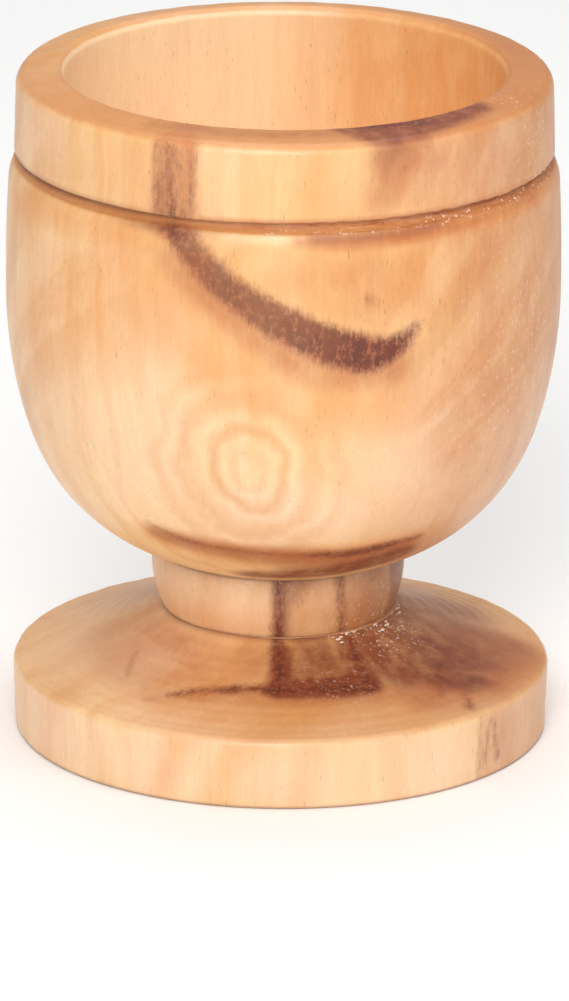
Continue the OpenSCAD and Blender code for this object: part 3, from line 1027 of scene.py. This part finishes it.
def makeFoot(foot, wear, topFigure, sideFigure):
    line, sideLine, topLine = footOutline(foot)
    piece = turnOnLathe("olive_foot", line, foot["steps"])
    wearFoot(piece, wear)
    spots = spotsOf(piece)
    radius, height, azimuth = radiusOf(spots), spots[:, 2], azimuthOf(spots)
    below = smoothStep(height, 1.6, 0.8) * smoothStep(radius, 17.6, 17.2)
    onTopFace = smoothStep(height, foot["edgeHeight"] - 0.5, foot["edgeHeight"] - 0.1)

    def onTop(azimuths, radii):
        return spotAt(azimuths, radii, np.interp(radii, topLine[::-1, 0], topLine[::-1, 1]))

    def onSide(azimuths, heights):
        return spotAt(azimuths, np.interp(heights, sideLine[:, 1], sideLine[:, 0]), heights)

    fields = readFigure(spots, topFigure, onTop)
    keepWhere(fields, onTopFace, paints + ("heartDepth",))
    side = readFigure(spots, sideFigure, onSide)
    crispLine = smoothStep(azimuth, 46.8, 47.8)  # the stain starts at one, in front
    side["stainAndShade"] *= np.where(np.abs(azimuth) < 90, crispLine, 1)
    addFigure(fields, side, (1 - onTopFace) * (1 - below))
    rightward = smoothStep(azimuth, -45, 0) * smoothStep(azimuth, 175, 120)
    fields["endGrain"] = onTopFace * (0.14 + 0.34 * rightward) + 0.55 * below
    # painted shade in the crease round the stem, and a painted shadow line along the bottom edge
    fields["paintedShade"] = 0.3 * smoothStep(radius, 8.5, 8.05) * (height > 7.6)
    fields["paintedShade"] += 0.4 * smoothStep(height, 0.35, 0.05) * (radius > 15.5)
    dress(piece, fields)
    return piece


foot = makeFoot(footTurning, footWear, footFigure, footSideFigure)
foot.data.materials.append(oliveWood("oliveWoodFoot", 0.42))
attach(foot, "root")
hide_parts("foot")
print("foot turned:", len(foot.data.polygons), "faces")


# Set glue of the two joints, with beads squeezed out on the foot

glueFilm = {
    "gap": 0.1,
    "endGap": 0.4,
    "tenonRadius": 5.0,
    "tenonLength": 4.0,
    "chamfer": 0.4,
    "unevenEdge": 0.05,
    "reachUnder": 8.0,
    "reachOver": 8.45,
    "steps": 128,
}
glueBeads = {
    "count": 64,
    "from": 24,
    "to": 88,
    "reach": 7.98,
    "spread": 0.9,
    "small": 0.05,
    "large": 0.14,
    "lumps": (0.12, 0.05),
    "seed": 7,
}


def glueMaterial(name, thin, thick):
    made, tree, shader, spot = startMaterial(name)
    cloud = noiseOn(tree, spot, 0.7, 3.0, 0.6)
    fine = noiseOn(tree, spot, 4.0, 2.0, 0.5, move=(3, 1, 2))
    tone = blend(tree, fade(tree, cloud, 0.35, 0.65), toLinear(*thin), toLinear(*thick))
    tone = tint(tree, tone, "fleck", fade(tree, fine, 0.55, 0.75, 0.0, 0.35))
    tree.links.new(tone, shader.inputs["Base Color"])
    tree.links.new(fade(tree, fine, 0.3, 0.7, 0.25, 0.5), shader.inputs["Roughness"])
    roughen(tree, shader, cloud, 0.4, 0.05)
    return made


def makeFilm(name, film, face, toward, reach):  # face is the shoulder's height, toward is 1 up or -1 down
    peg, gap, length, cut = film["tenonRadius"], film["gap"], film["tenonLength"], film["chamfer"]
    end = length + film["endGap"]
    line = Outline([(0, length)])
    line.go((peg - cut, length), 1.2)
    line.go((peg, length - cut), 0.3)
    line.go((peg, 0), 0.9)
    line.go((reach, 0), 0.5)
    line.bend((reach, gap), 0.07, 0.04)
    line.go((peg + gap, gap), 0.5)
    line.go((peg + gap, gap + end), 0.9)
    line.go((0, gap + end), 1.2)
    piece = turnOnLathe(name, [(r, face + toward * z) for r, z in line], film["steps"])
    spots = spotsOf(piece)
    rim = smoothStep(radiusOf(spots), reach - 0.6, reach)
    waves = 0.5 + 0.5 * np.sin(np.radians(azimuthOf(spots)) * 9)
    slideBy(piece, "unevenEdge", "X", film["unevenEdge"], rim * waves)
    return piece


def makeBeads(beads, foot):
    dice = random.Random(beads["seed"])
    clearPick()
    bpy.ops.mesh.primitive_ico_sphere_add(subdivisions=2, radius=0.1 * mm)
    piece = rename(bpy.context.object, "glue_beads")
    bpy.ops.object.mode_set(mode="EDIT")
    bpy.ops.mesh.select_all(action="SELECT")
    bpy.ops.mesh.delete(type="VERT")
    for _ in range(beads["count"]):
        angle = math.radians(dice.uniform(beads["from"], beads["to"]))
        size = dice.uniform(beads["small"], beads["large"]) * dice.uniform(0.6, 1)
        reach = beads["reach"] + beads["spread"] * dice.random() ** 4
        height = foot["edgeHeight"] + foot["rise"] - 0.34 * (reach - foot["landRadius"]) + 0.3 * size
        place = (reach * math.sin(angle) * mm, -reach * math.cos(angle) * mm, height * mm)
        bpy.ops.mesh.select_all(action="DESELECT")
        bpy.ops.mesh.primitive_ico_sphere_add(
            subdivisions=2, radius=size * mm, location=place,
            rotation=(0, 0, angle), scale=(dice.uniform(1, 1.9), 0.9, 0.75))
    bpy.ops.object.mode_set(mode="OBJECT")
    bpy.ops.object.shade_smooth()
    pressIn(piece, "beadLumps", beads["lumps"], np.ones(len(piece.data.vertices)))
    return piece


footGlue = makeFilm("glue_under_stem", glueFilm, stemTurning["base"], -1, glueFilm["reachUnder"])
footGlue.data.materials.append(glueMaterial("setGlueFilmPale", (170, 116, 80), (194, 140, 100)))
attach(footGlue, "root")
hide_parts("foot_glue")
bowlGlue = makeFilm("glue_over_stem", glueFilm, stemTurning["top"], 1, glueFilm["reachOver"])
bowlGlue.data.materials.append(glueMaterial("setGlueFilm", (96, 56, 38), (128, 78, 50)))
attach(bowlGlue, "root")
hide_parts("bowl_glue")
beadPiece = makeBeads(glueBeads, footTurning)
beadPiece.data.materials.append(glueMaterial("driedGlueBead", (240, 214, 198), (214, 176, 152)))
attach(beadPiece, "root")
print("glue set:", sum(len(piece.data.polygons) for piece in (footGlue, bowlGlue, beadPiece)), "faces")


# Foil label under the foot

labelShape = {
    "long": 25.0,
    "wide": 7.0,
    "thick": 0.12,
    "corner": 0.9,
    "roof": 0.6,  # height of the recess it is stuck to
    "cuts": (24, 7),
    "lift": 0.05,
    "waves": 0.02,
}


def foilMaterial():
    made, tree, shader, spot = startMaterial("satinGoldFoil")
    cloud = noiseOn(tree, spot, 0.25, 3.0, 0.6)
    brushed = noiseOn(tree, spot, 1.0, 3.0, 0.6, stretch=(0.5, 9, 1))
    scuff = noiseOn(tree, spot, 1.4, 4.0, 0.7, move=(4, 8, 1))
    tone = blend(tree, fade(tree, cloud, 0.35, 0.65), toLinear(196, 148, 52), toLinear(222, 178, 84))
    tone = blend(tree, fade(tree, scuff, 0.62, 0.74, 0.0, 0.6), tone, toLinear(120, 90, 44))
    tree.links.new(tone, shader.inputs["Base Color"])
    shader.inputs["Metallic"].default_value = 0.9
    dull = reckon(tree, "MULTIPLY_ADD", brushed, 0.18, 0.26)
    tree.links.new(reckon(tree, "MULTIPLY_ADD", scuff, 0.1, dull), shader.inputs["Roughness"])
    roughen(tree, shader, reckon(tree, "MULTIPLY_ADD", scuff, 0.6, brushed), 0.3, 0.04)
    return made


def makeLabel(label):
    clearPick()
    bpy.ops.mesh.primitive_plane_add(size=mm, location=(0, 0, (label["roof"] - label["thick"]) * mm))
    piece = rename(bpy.context.object, "foil_label")
    bpy.ops.object.mode_set(mode="EDIT")
    bpy.ops.mesh.select_all(action="SELECT")
    bpy.ops.transform.resize(value=(label["long"], label["wide"], 1))
    bpy.ops.mesh.bevel(offset=label["corner"] * mm, segments=8, affect="VERTICES")
    bpy.ops.mesh.extrude_region_move(TRANSFORM_OT_translate={"value": (0, 0, label["thick"] * mm)})
    for axis, (reach, cuts) in enumerate(zip((label["long"], label["wide"]), label["cuts"])):
        for step in range(1, cuts):
            place, way = [0, 0, 0], [0, 0, 0]
            place[axis] = (step / cuts - 0.5) * reach * mm
            way[axis] = 1
            bpy.ops.mesh.select_all(action="SELECT")
            bpy.ops.mesh.bisect(plane_co=place, plane_no=way)
    bpy.ops.mesh.select_all(action="SELECT")
    bpy.ops.mesh.normals_make_consistent(inside=False)
    bpy.ops.object.mode_set(mode="OBJECT")
    bpy.ops.object.transform_apply(location=True, rotation=True, scale=True)
    spots = spotsOf(piece)
    corner = smoothStep(np.abs(spots[:, 0]) + np.abs(spots[:, 1]), 13, 16)
    slideBy(piece, "cornerLift", "Z", -label["lift"], corner)
    slideBy(piece, "foilWaves", "Z", -label["waves"], 0.5 + 0.5 * np.sin(spots[:, 0] * 1.3 + spots[:, 1]))
    return piece


label = makeLabel(labelShape)
label.data.materials.append(foilMaterial())
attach(label, "root")
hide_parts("label")
print("label laid:", len(label.data.polygons), "faces")


# Floor, lights and camera, in metres

studio = {"floorSize": 1.6, "floorTones": (0.93, 0.95), "worldStrength": 0.37, "lightAim": (0, 0, 0.02)}
lights = {
    # place, width of the disc, watts and colour
    "keyLight": ((-0.06, -0.55, 0.40), 0.30, 2.75, (1.0, 0.985, 0.96)),
    "fillLight": ((0.42, -0.30, 0.42), 0.40, 0.6, (1, 1, 1)),
    "topLight": ((0.0, 0.10, 0.6), 0.5, 1.7, (1, 1, 1)),
}
frontView = {
    "lens": 342.0,
    "distance": 0.650,
    "elevation": 17.81,
    "targetHeight": 0.023,
    "aimRight": 0.00018,
    "aimDown": 0.00677,
    "roll": 0.42,
}


def grey(level):
    return (level, level, level, 1)


def makeFloor(size, tones):
    clearPick()
    bpy.ops.mesh.primitive_plane_add(size=size)
    floor = rename(bpy.context.object, "floor")
    made, tree, shader, spot = startMaterial("palePaper")
    cloud = noiseOn(tree, spot, 0.02, 2.0)
    tree.links.new(blend(tree, cloud, grey(tones[0]), grey(tones[1])), shader.inputs["Base Color"])
    shader.inputs["Roughness"].default_value = 0.9
    floor.data.materials.append(made)


def makeLight(name, aim, place, size, power, colour):
    lamp = bpy.data.lights.new(name, "AREA")
    lamp.shape = "DISK"
    lamp.size = size
    lamp.energy = power
    lamp.color = colour
    holder = bpy.data.objects.new(name, lamp)
    bpy.context.scene.collection.objects.link(holder)
    holder.location = place
    holder.rotation_euler = (Vector(aim) - Vector(place)).to_track_quat("-Z", "Y").to_euler()


def makeWorld(strength):
    world = bpy.data.worlds.new("studio")
    world.use_nodes = True
    sky = world.node_tree.nodes["Background"]
    sky.inputs[0].default_value = grey(1.0)
    sky.inputs[1].default_value = strength
    bpy.context.scene.world = world
    bpy.context.scene.view_settings.view_transform = "Standard"


def makeCamera(view):
    lens = bpy.data.cameras.new("frontView")
    lens.lens = view["lens"]
    lens.sensor_width = 36
    lens.clip_start = 0.01
    lens.dof.use_dof = False
    holder = bpy.data.objects.new("frontView", lens)
    bpy.context.scene.collection.objects.link(holder)
    tilt = math.radians(view["elevation"])
    target = Vector((0, 0, view["targetHeight"]))
    holder.location = target + view["distance"] * Vector((0, -math.cos(tilt), math.sin(tilt)))
    down = view["aimDown"]
    aim = target + Vector((view["aimRight"], -down * math.sin(tilt), -down * math.cos(tilt)))
    look = (aim - holder.location).to_track_quat("-Z", "Y")
    holder.rotation_euler = (look @ Euler((0, 0, math.radians(view["roll"]))).to_quaternion()).to_euler()
    bpy.context.scene.camera = holder


makeFloor(studio["floorSize"], studio["floorTones"])
for name, settings in lights.items():
    makeLight(name, studio["lightAim"], *settings)
makeWorld(studio["worldStrength"])
makeCamera(frontView)
